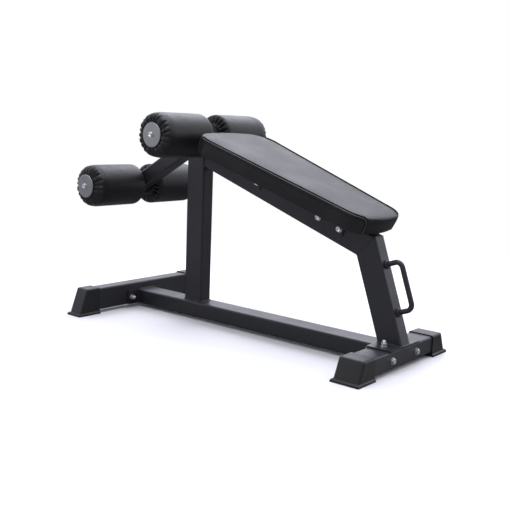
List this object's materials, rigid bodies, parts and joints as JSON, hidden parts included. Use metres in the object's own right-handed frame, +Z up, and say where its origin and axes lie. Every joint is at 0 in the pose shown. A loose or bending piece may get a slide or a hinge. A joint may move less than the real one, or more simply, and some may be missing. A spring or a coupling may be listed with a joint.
{
  "type": "decline sit up bench",
  "caption": "Decline sit up bench: a tapered padded board on a sloping beam, with upper and lower pairs of padded leg rollers and a carry handle.",
  "frame": {"origin": "on the floor, on the centre plane, under the middle of the overall length", "axes": "+X from the leg roller end (high) to the carry handle end (low), +Y to the left when facing +X, +Z up"},
  "size_m": [1.4214, 0.726, 0.8231],
  "materials": {
    "frame_paint": "fine textured powder coat, charcoal, semi-matt",
    "black_plastic": "moulded, fine spark texture",
    "pad_cover": "black upholstery leathercloth, fine grain, satin sheen, twin stitched seams",
    "roller_cover": "black upholstery leathercloth, gathered in pleats at both ends",
    "foam": "closed cell foam, grey",
    "plywood": "birch plywood, unfinished",
    "plated_steel": "bright zinc plate",
    "zinc_fastener": "bright zinc plate",
    "disc_aluminium": "fine turned, clear anodised",
    "nylon": "natural nylon"
  },
  "bodies": {
    "frame": {"arm_end_plugs": "black_plastic", "axle_end_bolts": "zinc_fastener", "axle_end_discs": "disc_aluminium", "axle_end_washers": "zinc_fastener", "axle_thrust_washers": "nylon", "base_rail": "frame_paint", "bracket_bolts": "zinc_fastener", "carry_handle": "frame_paint", "frame_nuts": "zinc_fastener", "frame_washers": "zinc_fastener", "front_foot_bolts": "zinc_fastener", "front_foot_tube": "frame_paint", "front_left_boot": "black_plastic", "front_right_boot": "black_plastic", "front_upright": "frame_paint", "handle_bosses": "frame_paint", "leg_foot_plate": "frame_paint", "leg_plate_bolts": "zinc_fastener", "lower_axle": "plated_steel", "lower_left_pad_bracket": "frame_paint", "lower_right_pad_bracket": "frame_paint", "pad_board": "plywood", "pad_bolts": "zinc_fastener", "pad_cover": "pad_cover", "pad_foam": "foam", "pad_t_nuts": "zinc_fastener", "rail_front_flange": "frame_paint", "rail_rear_flange": "frame_paint", "rear_foot_bolts": "zinc_fastener", "rear_foot_tube": "frame_paint", "rear_left_boot": "black_plastic", "rear_leg": "frame_paint", "rear_right_boot": "black_plastic", "roller_arm": "frame_paint", "seat_beam": "frame_paint", "upper_axle": "plated_steel", "upper_left_pad_bracket": "frame_paint", "upper_right_pad_bracket": "frame_paint"},
    "upper_left_roller": {"upper_left_roller_bushes": "nylon", "upper_left_roller_cover": "roller_cover", "upper_left_roller_foam": "foam", "upper_left_roller_sleeve": "plated_steel"},
    "upper_right_roller": {"upper_right_roller_bushes": "nylon", "upper_right_roller_cover": "roller_cover", "upper_right_roller_foam": "foam", "upper_right_roller_sleeve": "plated_steel"},
    "lower_left_roller": {"lower_left_roller_bushes": "nylon", "lower_left_roller_cover": "roller_cover", "lower_left_roller_foam": "foam", "lower_left_roller_sleeve": "plated_steel"},
    "lower_right_roller": {"lower_right_roller_bushes": "nylon", "lower_right_roller_cover": "roller_cover", "lower_right_roller_foam": "foam", "lower_right_roller_sleeve": "plated_steel"}
  },
  "joints": [
    {"name": "upper_left_roller_spin", "type": "hinge", "parent": "frame", "child": "upper_left_roller", "pos_m": [-0.2478, 0.162, 0.74107], "axis": [0, 1, 0], "continuous": true},
    {"name": "upper_right_roller_spin", "type": "hinge", "parent": "frame", "child": "upper_right_roller", "pos_m": [-0.2478, -0.162, 0.74107], "axis": [0, 1, 0], "continuous": true},
    {"name": "lower_left_roller_spin", "type": "hinge", "parent": "frame", "child": "lower_left_roller", "pos_m": [-0.62875, 0.162, 0.5229], "axis": [0, 1, 0], "continuous": true},
    {"name": "lower_right_roller_spin", "type": "hinge", "parent": "frame", "child": "lower_right_roller", "pos_m": [-0.62875, -0.162, 0.5229], "axis": [0, 1, 0], "continuous": true}
  ]
}
